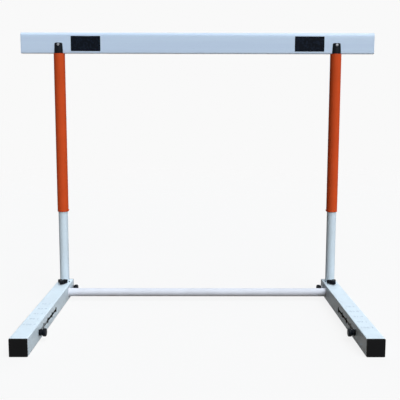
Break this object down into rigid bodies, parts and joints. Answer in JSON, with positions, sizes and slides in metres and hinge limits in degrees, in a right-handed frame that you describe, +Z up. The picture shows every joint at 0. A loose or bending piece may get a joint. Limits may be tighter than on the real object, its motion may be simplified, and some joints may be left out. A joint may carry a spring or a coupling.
{
  "type": "track hurdle",
  "caption": "Adjustable track hurdle: box feet with sliding counterweights, telescoping posts with spring buttons, tube crossbar and a rounded plastic bar.",
  "frame": {"origin": "on the floor, below the middle of the bar and half way along the feet", "axes": "+X along the bar, +Z up; the posts stand at the +Y end of the feet, which point towards -Y"},
  "size_m": [1.2, 0.65, 0.9144],
  "materials": {
    "white_paint": "satin",
    "orange_paint": "satin",
    "bar_plastic": "gloss",
    "black_plastic": "satin",
    "patch_black": "matte",
    "bright_steel": "plated",
    "dark_steel": "blackened",
    "cast_iron": "as cast",
    "grey_iron": "satin"
  },
  "bodies": {
    "base": {"crossbar": "white_paint", "left_foot": "white_paint", "left_front_plug": "black_plastic", "left_rear_plug": "black_plastic", "left_lower_post": "white_paint", "left_post_socket": "cast_iron", "left_socket_screw": "dark_steel", "left_post_guide": "black_plastic", "left_clamp_washer": "bright_steel", "left_lock_ferrule": "bright_steel", "left_lock_spring": "bright_steel", "left_button_spring": "bright_steel", "right_foot": "white_paint", "right_front_plug": "black_plastic", "right_rear_plug": "black_plastic", "right_lower_post": "white_paint", "right_post_socket": "cast_iron", "right_socket_screw": "dark_steel", "right_post_guide": "black_plastic", "right_clamp_washer": "bright_steel", "right_lock_ferrule": "bright_steel", "right_lock_spring": "bright_steel", "right_button_spring": "bright_steel"},
    "upper": {"bar": "bar_plastic", "left_upper_tube": "orange_paint", "left_guide_bush": "black_plastic", "left_top_plug": "black_plastic", "left_bar_screw": "bright_steel", "left_bar_nut": "bright_steel", "left_bar_cap": "bar_plastic", "left_bar_patch": "patch_black", "right_upper_tube": "orange_paint", "right_guide_bush": "black_plastic", "right_top_plug": "black_plastic", "right_bar_screw": "bright_steel", "right_bar_nut": "bright_steel", "right_bar_cap": "bar_plastic", "right_bar_patch": "patch_black"},
    "left_clamp": {"left_clamp_bolt": "bright_steel", "left_clamp_knob": "black_plastic"},
    "left_post_lock": {"left_lock_pin": "bright_steel", "left_lock_knob": "black_plastic"},
    "left_button": {"left_height_button": "bright_steel"},
    "left_counterweight": {"left_weight": "grey_iron", "left_weight_spring": "bright_steel"},
    "left_weight_lock": {"left_weight_pin": "bright_steel", "left_weight_knob": "black_plastic"},
    "right_clamp": {"right_clamp_bolt": "bright_steel", "right_clamp_knob": "black_plastic"},
    "right_post_lock": {"right_lock_pin": "bright_steel", "right_lock_knob": "black_plastic"},
    "right_button": {"right_height_button": "bright_steel"},
    "right_counterweight": {"right_weight": "grey_iron", "right_weight_spring": "bright_steel"},
    "right_weight_lock": {"right_weight_pin": "bright_steel", "right_weight_knob": "black_plastic"}
  },
  "joints": [
    {"name": "height_slide", "type": "slide", "parent": "base", "child": "upper", "axis": [0, 0, 1], "range_m": [-0.1524, 0.1524]},
    {"name": "left_clamp_turn", "type": "hinge", "parent": "base", "child": "left_clamp", "pos_m": [-0.472, 0.247, 0.05], "axis": [0, 0, 1], "range_deg": [0, 270]},
    {"name": "left_post_lock_pull", "type": "slide", "parent": "base", "child": "left_post_lock", "axis": [1, 0, 0], "range_m": [0, 0.006], "stiffness_N_per_m": 500, "deforming": ["left_lock_spring"]},
    {"name": "left_button_travel", "type": "slide", "parent": "base", "child": "left_button", "axis": [1, 0, 0], "range_m": [0, 0.0046], "stiffness_N_per_m": 200, "springref_m": 0.0046, "deforming": ["left_button_spring"]},
    {"name": "left_counterweight_slide", "type": "slide", "parent": "base", "child": "left_counterweight", "axis": [0, 1, 0], "range_m": [0, 0.22]},
    {"name": "left_weight_lock_pull", "type": "slide", "parent": "left_counterweight", "child": "left_weight_lock", "axis": [1, 0, 0], "range_m": [-0.0023, 0], "stiffness_N_per_m": 500, "springref_m": -0.0023, "deforming": ["left_weight_spring"]},
    {"name": "right_clamp_turn", "type": "hinge", "parent": "base", "child": "right_clamp", "pos_m": [0.472, 0.247, 0.05], "axis": [0, 0, 1], "range_deg": [0, 270]},
    {"name": "right_post_lock_pull", "type": "slide", "parent": "base", "child": "right_post_lock", "axis": [-1, 0, 0], "range_m": [0, 0.006], "stiffness_N_per_m": 500, "deforming": ["right_lock_spring"]},
    {"name": "right_button_travel", "type": "slide", "parent": "base", "child": "right_button", "axis": [-1, 0, 0], "range_m": [0, 0.0046], "stiffness_N_per_m": 200, "springref_m": 0.0046, "deforming": ["right_button_spring"]},
    {"name": "right_counterweight_slide", "type": "slide", "parent": "base", "child": "right_counterweight", "axis": [0, 1, 0], "range_m": [0, 0.22]},
    {"name": "right_weight_lock_pull", "type": "slide", "parent": "right_counterweight", "child": "right_weight_lock", "axis": [-1, 0, 0], "range_m": [-0.0023, 0], "stiffness_N_per_m": 500, "springref_m": -0.0023, "deforming": ["right_weight_spring"]}
  ]
}
